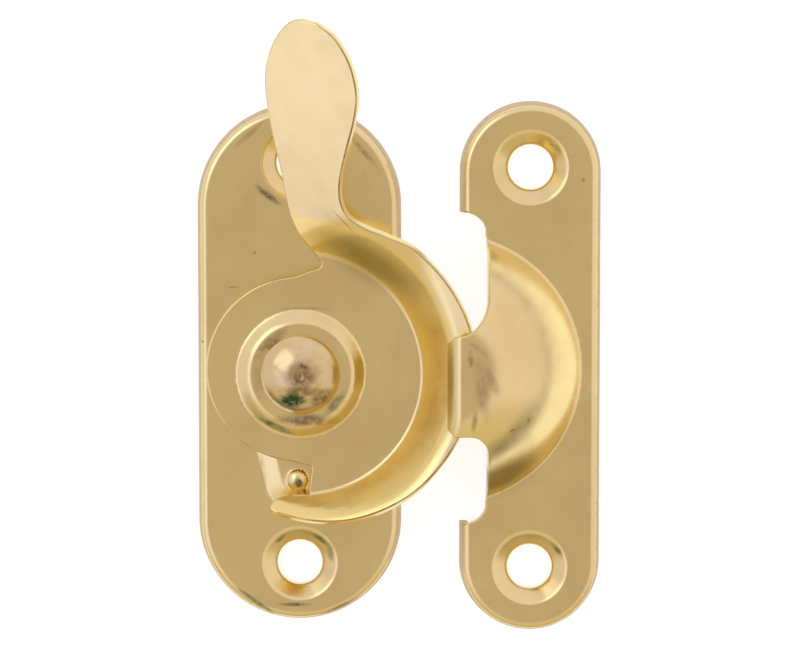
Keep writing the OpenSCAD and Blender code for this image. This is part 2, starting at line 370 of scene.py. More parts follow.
def pressed_sheet(name, height, edges, points, t, gap=0.16, stands=False):
    """Closed mesh of a sheet of thickness t whose upper face is height(x, y) within its edges."""
    loops, outs = map(list, zip(*[inset_loop(height, e, t) for e in edges]))
    flat, faces, loop_ids = triangulate(loops, inner_points(loops, outs, points, gap))
    count = len(flat)
    top = lift(height, flat)
    n_top = normals(height, flat)
    low = top - t * n_top
    if stands:
        low[:, 2] = np.maximum(low[:, 2], 0)
    verts = [top, low]
    polys = [tuple(f) for f in faces] + [tuple(f + count) for f in faces[:, ::-1]]
    loop_normals = [n_top[faces].reshape(-1, 3), -n_top[faces[:, ::-1]].reshape(-1, 3)]
    edge_shade = [np.zeros(2 * count)]
    total = 2 * count
    for e, out, ids in zip(edges, outs, loop_ids):
        m = len(ids)
        is_bore = e.kinds == "bore"
        low[ids[is_bore]] = np.column_stack([top[ids[is_bore], :2], np.zeros(is_bore.sum())])
        rows, row_normals = edge_rows(e, out, top[ids], n_top[ids], low[ids], t)
        verts += rows
        row_ids = [ids] + [np.arange(m) + total + k * m for k in range(len(rows))] + [ids + count]
        total += m * len(rows)
        # Painted shade: a dark line on the first rows of each rounded sheared edge, heaviest where the edge faces
        # right or towards the bottom of the picture.
        edge_shade_amount = np.clip(0.45 + 0.5 * out[:, 0] - 0.35 * out[:, 1], 0.25, 1) * (e.kinds == "sheared")
        edge_shade += [edge_shade_amount, edge_shade_amount, np.zeros(m * (len(rows) - 2))]
        for i0, i1, n0, n1 in zip(row_ids, row_ids[1:], row_normals, row_normals[1:]):
            polys += zip(i0, i1, np.roll(i1, -1), np.roll(i0, -1))
            quad = np.stack([n0, n1, np.roll(n1, -1, 0), np.roll(n0, -1, 0)], 1)
            loop_normals.append(quad.reshape(-1, 3))
    piece = make_mesh(name, np.vstack(verts) * MM, polys, np.vstack(loop_normals))
    edge_shade_attribute = piece.data.attributes.new("painted_edge_shade", "FLOAT", "POINT")
    edge_shade_attribute.data.foreach_set("value", np.concatenate(edge_shade))
    return piece


def make_mesh(name, verts, polys, loop_normals=None):
    mesh = bpy.data.meshes.new(name)
    mesh.from_pydata([tuple(v) for v in verts], [], [tuple(int(i) for i in p) for p in polys])
    mesh.polygons.foreach_set("use_smooth", [True] * len(mesh.polygons))
    if loop_normals is not None:
        mesh.normals_split_custom_set([tuple(n) for n in loop_normals])
    piece = bpy.data.objects.new(name, mesh)
    bpy.context.scene.collection.objects.link(piece)
    return piece


def lathe(name, profile, centre, segments=128, sharp=40):
    """Solid of revolution about a vertical axis; the profile runs up from the axis and back to it."""
    p = np.array(profile, float)
    a = np.linspace(0, 2 * math.pi, segments, endpoint=False)
    verts, rows = [], []
    for r, z in p:
        if r < 1e-9:
            rows.append([len(verts)])
            verts.append((centre[0], centre[1], z))
        else:
            rows.append(list(range(len(verts), len(verts) + segments)))
            verts += [(centre[0] + r * math.cos(t), centre[1] + r * math.sin(t), z) for t in a]
    polys = []
    for low, high in zip(rows, rows[1:]):
        for i in range(segments):
            j = (i + 1) % segments
            quad = [low[i % len(low)], low[j % len(low)], high[j % len(high)], high[i % len(high)]]
            polys.append(list(dict.fromkeys(quad)))
    piece = make_mesh(name, np.array(verts) * MM, [q for q in polys if len(q) > 2])
    piece.data.set_sharp_from_angle(angle=math.radians(sharp))
    return piece


# ---------------------------------------------------------------- dished plates


def obround_inset(xy, size):
    """How far points lie inside an obround outline."""
    half = size[0] / 2
    straight = size[1] / 2 - half
    y = xy[:, 1] - np.clip(xy[:, 1], -straight, straight)
    return half - np.hypot(xy[:, 0], y)


def obround(size, inset=0.0, end=96, side=120):
    """Outline of an obround, moved inwards by inset, counter-clockwise."""
    half = size[0] / 2
    straight = size[1] / 2 - half
    r = half - inset
    up = np.linspace(-straight, straight, side, endpoint=False)
    right = np.stack([np.full(side, r), up], 1)
    left = np.stack([np.full(side, -r), -up], 1)
    return np.vstack([right, arc([0, straight], r, 0, 180, end)[:-1],
                      left, arc([0, -straight], r, 180, 360, end)[:-1]])


roll_centre = (plate_h - roll_r) * math.tan(draft) + roll_r / math.cos(draft)
roll_start = roll_centre - roll_r * math.cos(draft)


def tray_height(d):
    """Height of a dished plate's outer face at a distance d inside its outline."""
    side = d / math.tan(draft)
    inside_roll = np.clip(roll_centre - d, 0, roll_r * math.cos(draft))
    roll = plate_h - roll_r + np.sqrt(roll_r ** 2 - inside_roll ** 2)
    return np.where(d < roll_start, side, np.where(d < roll_centre, roll, plate_h))


def tray_rings(size):
    steps = [0.08, 0.16, roll_start]
    steps += [roll_centre - roll_r * math.cos(draft + a) for a in np.radians(np.arange(8, 83, 8.2))]
    steps += [roll_centre, roll_centre + 0.4, roll_centre + 1.2]
    return np.vstack([obround(size, s) for s in steps])


def dimple(z, xy):
    """Presses the countersunk dimples of the two screw holes into a height."""
    tangent = (plate_h - sink_floor) / (sink_r - screw_r)
    for y in (-screw_pitch / 2, screw_pitch / 2):
        r = np.hypot(xy[:, 0], xy[:, 1] - y)
        z = smooth_min(z, sink_floor + (r - screw_r) * tangent, 0.22)
        z = z - 0.14 * np.clip(1 - (r - screw_r) / 0.28, 0, 1) ** 2
    return z


def screw_edges():
    loops = [arc([0, y], screw_r, 360, 0, 97)[:-1] for y in (-screw_pitch / 2, screw_pitch / 2)]
    return [Edge(loop, "bore") for loop in loops]


def screw_rings():
    radii = [screw_r + 0.09, screw_r + 0.18]
    radii += list(np.arange(screw_r + 0.3, sink_r + 0.7, 0.13)) + [sink_r + 1.2]
    return np.vstack([rings([0, y], radii, 96) for y in (-screw_pitch / 2, screw_pitch / 2)])


# ---------------------------------------------------------------- base plate


def pad_inset(xy):
    """How far points lie inside the pad's outline: rounds about the pivot and the nub, with tangents."""
    reach = np.linalg.norm(nub)
    axis = nub / reach
    across = xy @ np.array([-axis[1], axis[0]])
    along = xy @ axis
    lean = (pad_r - lobe_r) / reach
    cos_lean = math.sqrt(1 - lean * lean)
    k = -lean * np.abs(across) + cos_lean * along
    round_pivot = np.hypot(across, along) - pad_r
    round_nub = np.hypot(across, along - reach) - lobe_r
    tangent = np.abs(across) * cos_lean + along * lean - pad_r
    return -np.where(k < 0, round_pivot, np.where(k > cos_lean * reach, round_nub, tangent))


def nub_height(r):
    """Height of the stop nub over the pad at a distance from its axis."""
    flank = 0.15 * (nub_foot_r - r) / (nub_foot_r - nub_r) - 8 * np.maximum(r - nub_foot_r, 0)
    dome = nub_h * np.maximum(1 - (r / (nub_r * 1.03)) ** 1.8, 0) ** 0.55
    return np.where(r < nub_r, np.maximum(dome, 0.15), flank)


def base_height(xy):
    local = xy - base_at
    z = dimple(tray_height(obround_inset(local, base_size)), local)
    about = xy - pivot
    ramp = pad_inset(about) * pad_h / pad_ramp
    z = z + smooth_min(smooth_max(ramp, np.zeros(len(xy)), 0.12), np.full(len(xy), pad_h), 0.1)
    r = np.hypot(*(about - nub).T)
    return smooth_max(z, plate_h + pad_h + nub_height(r), 0.12)


def base_plate():
    edges = [Edge(obround(base_size) + base_at, "foot")]
    edges += [Edge(e.loop + base_at, "bore") for e in screw_edges()]
    edges.append(Edge(arc(pivot, rivet_hole_r, 360, 0, 49)[:-1], "sheared"))
    ramp = grid(-pad_r - 1, pad_r + 1, -20, pad_r + 1, 0.3)
    ramp = ramp[(pad_inset(ramp) > -0.5) & (pad_inset(ramp) < pad_ramp + 0.5)] + pivot
    nub_rings = rings(pivot + nub, [0.35, 0.7, 0.95, 1.1, 1.2, 1.28, 1.36, 1.5, 1.8, 1.95, 2.3], 40)
    fill = grid(base_low[0], base_high[0], base_low[1], base_high[1], 1.5)
    points = np.vstack([tray_rings(base_size) + base_at, screw_rings() + base_at, nub_rings, ramp, fill])
    return pressed_sheet("base_plate_pressing", base_height, edges, points, plate_t, stands=True)


# ---------------------------------------------------------------- cam lever


def rim(a):
    low = rim_r - rim_draw * (np.maximum(rim_high - a, 0) / (rim_high - rim_low)) ** rim_power
    high = rim_r - rim_end_drop * (np.maximum(a - rim_high, 0) / (rim_end - rim_high)) ** rim_power
    return np.where(a < rim_high, low, high)


def lever_outline():
    a = np.linspace(rim_low, rim_end, 140)
    spiral = rim(a)[:, None] * np.stack([np.cos(np.radians(a)), np.sin(np.radians(a))], 1)
    loop = np.vstack([
        step_low,
        curve(tail_points, 6),
        spiral[:-1],
        curve([list(spiral[-1])] + tab_right, 8),
        curve(tab_left, 8),
        curve(step_high, 4),
        arc(edge_arc_centre, edge_arc_r, 93, 262, 90),
    ])
    return resample(loop, 0.3)


def lever_height(xy):
    about = xy - pivot
    r = np.hypot(*about.T)
    cone = disc_z + boss_h * (boss_foot_r - r) / (boss_foot_r - boss_top_r)
    boss = smooth_min(cone, np.full(len(r), disc_z + boss_h), 0.32)
    around = np.degrees(np.arctan2(about[:, 1], about[:, 0]))
    ease = smooth_step((around - 15) / 32)
    wall_tan = wall_rise / (wall_top_r - disc_r)
    wall = disc_z + (r - disc_r) * (1 - 0.24 * ease) * wall_tan
    tail = smooth_step((-around - 62) / 32)
    least = rim(around) - flange_least - 0.45 * tail
    bend_r = np.where(around < 0, smooth_min(least, np.full(len(r), wall_top_r), 0.3), wall_top_r)
    flange = disc_z + (bend_r - disc_r) * wall_tan - 0.75 * ease
    flange = flange + (r - bend_r) * flange_tan * (1 + 0.6 * tail)
    cup = smooth_max(np.full(len(r), disc_z), smooth_min(wall, flange, 0.7), 0.3)
    z = smooth_max(cup, boss, 0.15)
    tab = tab_base_z + tab_tan * (about @ np.array([math.cos(tab_side), math.sin(tab_side)]))
    tab = tab + 20 * np.maximum(disc_r - r, 0) ** 2 + 20 * np.maximum(tab_from_y - about[:, 1], 0) ** 2
    return smooth_min(z, tab, 0.9)


def cam_lever():
    bore = arc(pivot, bore_r, 360, 0, 97)[:-1]
    edges = [Edge(lever_outline() + pivot, "sheared"), Edge(bore, "sheared")]
    radii = [3.4, 4.6, 5.6] + list(np.arange(6.0, 8.5, 0.16)) + [9.2, 10.5, 12, 13.5, 14.3]
    radii += list(np.arange(14.75, 15.75, 0.1)) + [16.1, 16.6, 17.2, 17.8, 18.3]
    radii += list(np.arange(18.5, 20.9, 0.2)) + [21.2, 21.6, 22]
    root = grid(-3, 14, 13, 24, 0.38) + pivot
    fill = grid(-6, 10, 22, 46, 1.0) + pivot
    points = np.vstack([rings(pivot, radii, 220), root, fill])
    return pressed_sheet("cam_lever_pressing", lever_height, edges, points, lever_t)


# ---------------------------------------------------------------- keeper


def keeper_outline():
    """The keeper's boundary: the plate stands on its foot but for the sheared notches and tongue."""
    half = keeper_size[0] / 2
    straight = keeper_size[1] / 2 - half
    low, high = tongue_low, tongue_high
    tip = lip_end_x - 0.05
    turn = np.linspace(0, np.pi / 2, 26)
    notch_steps = (0.06, 0.12, 0.2, 0.3, 0.4, 0.55, 0.7, 0.85)
    upper_end = [
        arc([0, straight], half, 0, 180, 90),
        [[-half, y] for y in np.linspace(straight, notch_y, 14)[1:]],
    ]
    notches_and_tongue = [
        [[-half + x, notch_y] for x in notch_steps],
        curve([[-half + 1, notch_y], [-half + 1.9, notch_y - 0.35], [-half + 2.7, notch_y - 1.0],
               [mouth_x, mouth_y], [mouth_x, mouth_y - 1]], 8),
        [[mouth_x, y] for y in np.linspace(mouth_y - 1.3, high + tongue_sweep[1] + 0.3, 20)],
        [mouth_x, high] + tongue_sweep * np.stack([np.cos(turn) - 1, 1 - np.sin(turn)], 1),
        [[tongue_taper_from, high]],
        curve([[tongue_taper_from - 0.3, high - 0.1], [tip + 0.35, high - 0.65],
               [tip + 0.05, high - 1.0], [tip, high - 1.4]], 3),
        [[tip, y] for y in np.linspace(high - 1.8, low + 1.8, 26)],
        curve([[tip, low + 1.4], [tip + 0.05, low + 1.0], [tip + 0.35, low + 0.65],
               [tongue_taper_from - 0.3, low + 0.1]], 3),
        [[x, low] for x in np.linspace(tongue_taper_from, mouth_x - tongue_fillet - 0.3, 6)],
        arc([mouth_x - tongue_fillet, low - tongue_fillet], tongue_fillet, 90, 0, 14),
        [[mouth_x, y] for y in np.linspace(low - tongue_fillet - 0.3, 1.3 - mouth_y, 22)],
        curve([[mouth_x, 1 - mouth_y], [mouth_x, -mouth_y], [-half + 2.7, 1.0 - notch_y],
               [-half + 1.9, 0.35 - notch_y], [-half + 1, -notch_y]], 8),
        [[-half + x, -notch_y] for x in notch_steps[::-1]],
    ]
    lower_end = [
        [[-half, y] for y in np.linspace(-notch_y, -straight, 14)[:-1]],
        arc([0, -straight], half, 180, 360, 90),
        [[half, y] for y in np.linspace(-straight, straight, 110)[1:-1]],
    ]
    runs = (("foot", upper_end), ("sheared", notches_and_tongue), ("foot", lower_end))
    kinds = [kind for kind, parts in runs for part in parts for _ in part]
    return Edge(np.vstack(upper_end + notches_and_tongue + lower_end), kinds)


def keeper_height(xy):
    local = xy - keeper_at
    plate = dimple(tray_height(obround_inset(local, keeper_size)), local)
    q = np.hypot(local[:, 0] - hood_x, local[:, 1])
    u = np.maximum(q - hood_flat_r, 0) / (hood_r - hood_flat_r)
    hood = plate_h + (hood_h - plate_h) * (1 - u ** hood_power)
    lip = hood_h + (local[:, 0] - lip_bend_x) * lip_tan
    hood = smooth_min(hood, lip, 0.9)
    return np.where(np.abs(local[:, 1]) < notch_y, smooth_max(plate, hood, 0.4), plate)


def keeper():
    outline = keeper_outline()
    edges = [Edge(outline.loop + keeper_at, outline.kinds)]
    edges += [Edge(e.loop + keeper_at, "bore") for e in screw_edges()]
    radii = list(np.arange(16.0, 18.0, 0.13)) + list(np.arange(5, 16, 0.45))
    hood_rings = rings([hood_x, 0], radii, 260)
    hood_rings = hood_rings[hood_rings[:, 0] > lip_end_x]
    lip = np.array([[x, y] for x in np.arange(lip_end_x, -7.8, 0.14) for y in np.arange(-8, 5.4, 0.5)])
    fill = grid(-9, 9, -34, 34, 1.5)
    points = np.vstack([tray_rings(keeper_size), screw_rings(), hood_rings, lip, fill]) + keeper_at
    return pressed_sheet("keeper_pressing", keeper_height, edges, points, plate_t, stands=True)


# ---------------------------------------------------------------- rivet


def pivot_rivet():
    low, high = node_box("pivot_rivet")
    head_r = (high[0] - low[0]) / 2
    head_z = disc_z + boss_h + 0.05
    rise = high[2] - head_z
    edge = 0.5
    ball_r = (head_r ** 2 + (rise - edge) ** 2) / (2 * (rise - edge))
    dome = [(head_r, head_z + edge * 0.8)]
    for r in np.linspace(head_r - 0.03, 0, 48):
        z = high[2] - ball_r + math.sqrt(ball_r ** 2 - r ** 2)
        dent = 0.2 * math.exp(-(r / 0.34) ** 2) - 0.03 * math.exp(-((r - 0.75) / 0.2) ** 2)
        dome.append((r, z - dent))
    tail = [(0, 0), (1.6, 0), (2.2, 0.05), (2.9, 0.3), (3.1, 0.5), (3.1, 0.9), (shank_r, 0.9)]
    profile = [(r, low[2] + z) for r, z in tail]
    profile += [(shank_r, plate_h + pad_h), (shoulder_r, plate_h + pad_h), (shoulder_r, head_z)]
    profile += [(head_r - 0.15, head_z), (head_r - 0.04, head_z + 0.05), (head_r, head_z + 0.2)]
    return lathe("pivot_rivet_turned", profile + dome, pivot)


# ---------------------------------------------------------------- materials


class Nodes:
    """Short names for building a material's node tree."""

    def __init__(self, name):
        self.material = bpy.data.materials.new(name)
        self.material.use_nodes = True
        self.tree = self.material.node_tree
        self.shader = self.tree.nodes["Principled BSDF"]
        self.place = self.add("ShaderNodeTexCoord").outputs["Object"]

    def add(self, kind, **settings):
        node = self.tree.nodes.new(kind)
        for key, value in settings.items():
            setattr(node, key, value)
        return node

    def link(self, source, target):
        if isinstance(source, (int, float)):
            target.default_value = source
        elif isinstance(source, (tuple, list)):
            target.default_value = source
        else:
            self.tree.links.new(source, target)

    def math(self, operation, *values, clamp=False):
        node = self.add("ShaderNodeMath", operation=operation, use_clamp=clamp)
        for value, socket in zip(values, node.inputs):
            self.link(value, socket)
        return node.outputs[0]

    def noise(self, scale, detail=3.0, roughness=0.55, stretch=None):
        node = self.add("ShaderNodeTexNoise")
        place = self.place
        if stretch:
            mapping = self.add("ShaderNodeMapping")
            mapping.inputs["Scale"].default_value = stretch
            self.link(place, mapping.inputs["Vector"])
            place = mapping.outputs[0]
        self.link(place, node.inputs["Vector"])
        node.inputs["Scale"].default_value = scale
        node.inputs["Detail"].default_value = detail
        node.inputs["Roughness"].default_value = roughness
        return node.outputs["Fac"]

    def ramp(self, value, low, high, to_low=0.0, to_high=1.0):
        node = self.add("ShaderNodeMapRange", interpolation_type="SMOOTHSTEP")
        self.link(value, node.inputs["Value"])
        limits = {"From Min": low, "From Max": high, "To Min": to_low, "To Max": to_high}
        for socket, number in limits.items():
            node.inputs[socket].default_value = number
        return node.outputs[0]

    def mix(self, share, a, b):
        node = self.add("ShaderNodeMix", data_type="RGBA")
        self.link(share, node.inputs["Factor"])
        self.link(a, node.inputs["A"])
        self.link(b, node.inputs["B"])
        return node.outputs["Result"]

    def pits(self, scale, share, size):
        """Small scattered spots: 1 at the middle of a spot, 0 elsewhere."""
        cells = self.add("ShaderNodeTexVoronoi")
        self.link(self.place, cells.inputs["Vector"])
        cells.inputs["Scale"].default_value = scale
        pick = self.add("ShaderNodeSeparateColor")
        self.link(cells.outputs["Color"], pick.inputs["Color"])
        chosen = self.ramp(pick.outputs["Red"], 1 - share, 1 - share + 0.01)
        return self.math("MULTIPLY", self.ramp(cells.outputs["Distance"], size, size * 0.4), chosen)

    def smear(self, point, size, turn=0.0):
        """1 at the middle of an elongated smudge on the front face, 0 outside it; metres and degrees."""
        mapping = self.add("ShaderNodeMapping", vector_type="TEXTURE")
        mapping.inputs["Location"].default_value = point
        mapping.inputs["Rotation"].default_value = (0, 0, math.radians(turn))
        mapping.inputs["Scale"].default_value = (size[0], size[1], 0.004)
        self.link(self.place, mapping.inputs["Vector"])
        length = self.add("ShaderNodeVectorMath", operation="LENGTH")
        self.link(mapping.outputs[0], length.inputs[0])
        return self.ramp(length.outputs["Value"], 1.0, 0.25)

    def near(self, point, low, high):
        """1 within low of a point, 0 beyond high; metres."""
        node = self.add("ShaderNodeVectorMath", operation="DISTANCE")
        self.link(self.place, node.inputs[0])
        node.inputs[1].default_value = point
        return self.ramp(node.outputs["Value"], high, low)


def plated_brass(name, tint, rough, smears=(), grime=0.0, pit_share=0.012, skirt=None, drawn=None):
    """Bright yellow brass plate: soft tone changes, fine orange peel, pits, rubbed streaks, grime, painted shade
    and painted reflections.

    smears are (point, size, turn, strength, colour, even): stains and patches of painted shade; those that aren't
    even are mottled. skirt lists the screw holes of a dished plate, whose side, away from them, is painted dull
    and brownish: painted shade for the shaded floor it reflects beside its foot. drawn is (centre, inner and outer
    radius) of a deep drawn wall, painted a deeper, streaky yellow: a painted reflection of the brass in itself.
    """
    n = Nodes(name)
    tone = n.ramp(n.noise(70, 5, 0.6), 0.32, 0.72)
    warm = [c * k for c, k in zip(tint, (0.92, 0.89, 0.87))]
    colour = n.mix(tone, (*tint, 1), (*warm, 1))
    # Painted reflection: the deep drawn wall is painted a deeper yellow for the brass reflecting itself there, in
    # streaks from the noise.
    if drawn:
        flat = n.add("ShaderNodeVectorMath", operation="MULTIPLY")
        n.link(n.place, flat.inputs[0])
        flat.inputs[1].default_value = (1, 1, 0)
        away = n.add("ShaderNodeVectorMath", operation="DISTANCE")
        n.link(flat.outputs[0], away.inputs[0])
        away.inputs[1].default_value = (*drawn[0], 0)
        wall = n.math("MULTIPLY", n.ramp(away.outputs["Value"], drawn[1], drawn[1] + 0.4 * MM),
                      n.ramp(away.outputs["Value"], drawn[2] + 0.5 * MM, drawn[2] - 0.3 * MM))
        drag = n.ramp(n.noise(420, 4, 0.6), 0.3, 0.7, 0.55, 0.9)
        colour = n.mix(n.math("MULTIPLY", wall, drag), colour, (0.97, 0.76, 0.24, 1))
    spots = n.math("MAXIMUM", n.pits(420, pit_share, 0.16), n.pits(900, pit_share * 0.8, 0.2))
    dirt = n.math("MULTIPLY", n.ramp(n.noise(260, 6, 0.7), 0.56, 0.74), grime)
    colour = n.mix(n.math("MULTIPLY", dirt, 0.8), colour, (0.2, 0.13, 0.07, 1))
    breakup = n.ramp(n.noise(700, 5, 0.7), 0.34, 0.62, 0.35, 1.0)
    # Each smear mixes in its colour: real stains and rubbing, and patches of painted shade.
    for point, size, turn, strength, stain_and_shade, even in smears:
        here = n.math("MULTIPLY", n.smear(point, size, turn), strength)
        if not even:
            here = n.math("MULTIPLY", here, breakup)
        colour = n.mix(here, colour, (*stain_and_shade, 1))
        dirt = n.math("MAXIMUM", dirt, here)
    colour = n.mix(n.math("MULTIPLY", spots, 0.75), colour, (0.12, 0.08, 0.04, 1))
    # Painted shade: the dark line along the sheared edges, read from the mesh attribute that pressed_sheet sets,
    # broken up by noise.
    edge_shade = n.add("ShaderNodeAttribute", attribute_name="painted_edge_shade").outputs["Fac"]
    edge_shade = n.math("MULTIPLY", edge_shade, n.ramp(n.noise(350, 3), 0.35, 0.6, 0.3, 0.8))
    colour = n.mix(edge_shade, colour, (0.16, 0.1, 0.05, 1))
    haze = n.ramp(n.noise(340, 5, 0.6), 0.3, 0.75, rough - 0.035, rough + 0.06)
    streaks = n.ramp(n.noise(160, 3, 0.6, stretch=(1.0, 0.06, 1.0)), 0.45, 0.8, 0.0, 0.05)
    gloss = n.math("ADD", n.math("ADD", haze, streaks), n.math("MULTIPLY", dirt, 0.12))
    n.shader.inputs["Metallic"].default_value = 1.0
    if skirt:
        # Painted shade: the plate's sloping side, below 2.3 to 2.72 mm and away from the screw holes, is painted
        # dull brown, less metallic and rougher, for the shaded floor it reflects beside its foot.
        axes = n.add("ShaderNodeSeparateXYZ")
        n.link(n.place, axes.inputs[0])
        side = n.ramp(axes.outputs["Z"], 2.72 * MM, 2.3 * MM)
        for point in skirt:
            side = n.math("MULTIPLY", side, n.math("SUBTRACT", 1.0, n.near(point, 5.2 * MM, 5.8 * MM)))
        colour = n.mix(n.math("MULTIPLY", side, 0.88), colour, (0.56, 0.43, 0.26, 1))
        n.link(n.math("SUBTRACT", 1.0, n.math("MULTIPLY", side, 0.6)), n.shader.inputs["Metallic"])
        n.shader.inputs["Specular IOR Level"].default_value = 0.05
        gloss = n.math("ADD", gloss, n.math("MULTIPLY", side, 0.3))
    n.link(colour, n.shader.inputs["Base Color"])
    n.link(gloss, n.shader.inputs["Roughness"])
    peel = n.math("MULTIPLY", n.noise(1500, 4, 0.6), 0.35)
    relief = n.math("ADD", n.math("ADD", peel, n.noise(140, 2, 0.4)), n.math("MULTIPLY", spots, -1.2))
    bump = n.add("ShaderNodeBump")
    bump.inputs["Strength"].default_value = 0.12
    bump.inputs["Distance"].default_value = 0.00006
    n.link(relief, bump.inputs["Height"])
    n.link(bump.outputs[0], n.shader.inputs["Normal"])
    return n.material


def spring_steel(name, colour, rough):
    """Plain rolled steel: drawn streaks, uneven sheen."""
    n = Nodes(name)
    streak = n.noise(500, 4, 0.6, stretch=(1.0, 0.2, 1.0))
    dark = tuple(c * 0.75 for c in colour)
    n.link(n.mix(n.ramp(streak, 0.35, 0.7), (*colour, 1), (*dark, 1)), n.shader.inputs["Base Color"])
    n.shader.inputs["Metallic"].default_value = 1.0
    n.link(n.ramp(n.noise(900, 4), 0.3, 0.7, rough, rough + 0.12), n.shader.inputs["Roughness"])
    bump = n.add("ShaderNodeBump")
    bump.inputs["Strength"].default_value = 0.15
    bump.inputs["Distance"].default_value = 0.00005
    n.link(streak, bump.inputs["Height"])
    n.link(bump.outputs[0], n.shader.inputs["Normal"])
    return n.material


def attach(piece, body, nodes, material):
    """Gives a new piece its material and body, and hides the CAD nodes it stands in for."""
    piece.data.materials.append(material)
    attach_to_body(piece, body)
    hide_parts(*nodes)


def refinish(node, material):
    """Gives a CAD node its material in place of the one it came with."""
    piece = frame["nodes"][node]
    piece.data.materials.clear()
    piece.data.materials.append(material)


def spot(xy, z):
    return (xy[0] * MM, xy[1] * MM, z * MM)


BRASS = (0.9, 0.75, 0.34)
# Tarnish, and painted shade on the stop nub, the pad's foot and the rivet head's lower side.
TARNISH_AND_SHADE = (0.2, 0.14, 0.07)
DARK = (0.07, 0.06, 0.03)
# Verdigris, and painted shade along the lever disc's lower-left edge.
VERDIGRIS_AND_SHADE = (0.03, 0.16, 0.07)
# Painted shade on the rivet head's lower side.
RIVET_PAINTED_SHADE = (0.04, 0.09, 0.04)
# Painted shade on the keeper lip's sloping face.
LIP_PAINTED_SHADE = (0.52, 0.38, 0.11)
# Painted shade on the hood's lower left.
HOOD_PAINTED_SHADE = (0.3, 0.23, 0.08)
# Painted shade on the lever's upper trough wall.
TROUGH_PAINTED_SHADE = (0.42, 0.34, 0.1)
RIVET_WORN = (0.5, 0.37, 0.17)
RIVET_CROWN = (0.36, 0.25, 0.11)
RUBBED = (0.43, 0.29, 0.18)


def smear(xy, z, size, turn, strength, stain_and_shade, even=False):
    """A smudge for plated_brass, real or a patch of painted shade, with its place and size in millimetres and its
    turn in degrees.
    """
    return spot(np.array(xy), z), (size[0] * MM, size[1] * MM), turn, strength, stain_and_shade, even


holes_base = [spot(base_at + [0, y], sink_floor) for y in (-screw_pitch / 2, screw_pitch / 2)]
holes_keeper = [spot(keeper_at + [0, y], sink_floor) for y in (-screw_pitch / 2, screw_pitch / 2)]
base_smears = [
    smear(base_at + [-3.9, 21.4], plate_h, (2.6, 0.6), -38, 0.85, DARK),
    smear(base_at + [-6.2, 29.0], plate_h, (3.2, 0.45), 42, 0.4, DARK),
    smear(base_at + [8.0, 27.0], plate_h, (3.4, 0.5), -48, 0.45, DARK),
    smear(base_at + [-0.6, -30.6], plate_h, (2.6, 0.35), 0, 0.95, DARK),
    smear(base_at + [-5.6, -30.2], plate_h, (4.2, 0.4), -35, 0.8, VERDIGRIS_AND_SHADE),
    smear(base_at + [4.5, -31.2], plate_h, (4.5, 0.35), 25, 0.7, TARNISH_AND_SHADE),
    smear(base_at + [-8.2, 9.8], plate_h, (0.9, 0.14), 0, 0.8, DARK),
    smear(base_at + [2.6, -22.3], 2.4, (1.7, 0.5), -35, 0.9, VERDIGRIS_AND_SHADE),
    smear(base_at + [-2.4, -22.2], 2.6, (1.1, 0.4), 40, 0.85, DARK),
    smear(base_at + [3.9, -24.0], 2.6, (0.7, 1.6), 10, 0.6, TARNISH_AND_SHADE),
    # Painted shade on the stop nub's lower side.
    smear(pivot + nub + [0.05, -0.35], 5.0, (0.9, 0.7), 20, 1.5, TARNISH_AND_SHADE),
    # Painted shade: a thin dark line at the foot of the pad's left side.
    smear(pivot + nub + [-4.4, 1.2], 3.6, (0.5, 3.6), 8, 0.35, TARNISH_AND_SHADE),
]
base_brass = plated_brass("base_plate_brass", BRASS, 0.2, base_smears, 0.08, skirt=holes_base)
keeper_smears = [
    smear(keeper_at + [-6.3, -1.5], hood_h, (1.1, 5.2), 8, 0.55, RUBBED),
    smear(keeper_at + [-5.0, -0.6], hood_h, (0.9, 2.6), 25, 0.5, RUBBED),
    smear(keeper_at + [-7.7, 2.3], hood_h, (0.5, 1.5), 5, 0.6, TARNISH_AND_SHADE),
    smear(keeper_at + [-7.2, -5.6], hood_h, (0.5, 2.0), -8, 0.5, TARNISH_AND_SHADE),
    smear(keeper_at + [-2.4, -6.9], 10.5, (0.6, 0.25), 20, 0.9, TARNISH_AND_SHADE),
    # Painted shade on the lip's sloping face.
    smear(keeper_at + [lip_bend_x - 0.95, -1.3], hood_h - 1.6, (0.9, 9.0), 0, 1.0, LIP_PAINTED_SHADE, True),
    smear(keeper_at + [-6.6, 3.4], hood_h, (2.2, 0.5), -38, 0.5, RUBBED),
    # Painted shade on the hood's lower left.
    smear(keeper_at + [-3.6, -13.4], 5.5, (8.0, 4.2), 22, 0.9, HOOD_PAINTED_SHADE, True),
    smear(keeper_at + [2.8, 28.3], 2.4, (1.6, 0.6), -45, 0.85, VERDIGRIS_AND_SHADE),
    smear(keeper_at + [3.4, -23.0], 2.4, (1.5, 0.5), -50, 0.85, VERDIGRIS_AND_SHADE),
    smear(keeper_at + [2.5, -33.0], plate_h - 0.3, (5.5, 0.35), 12, 0.6, DARK),
]
keeper_brass = plated_brass("keeper_brass", BRASS, 0.2, keeper_smears, 0.08, skirt=holes_keeper)
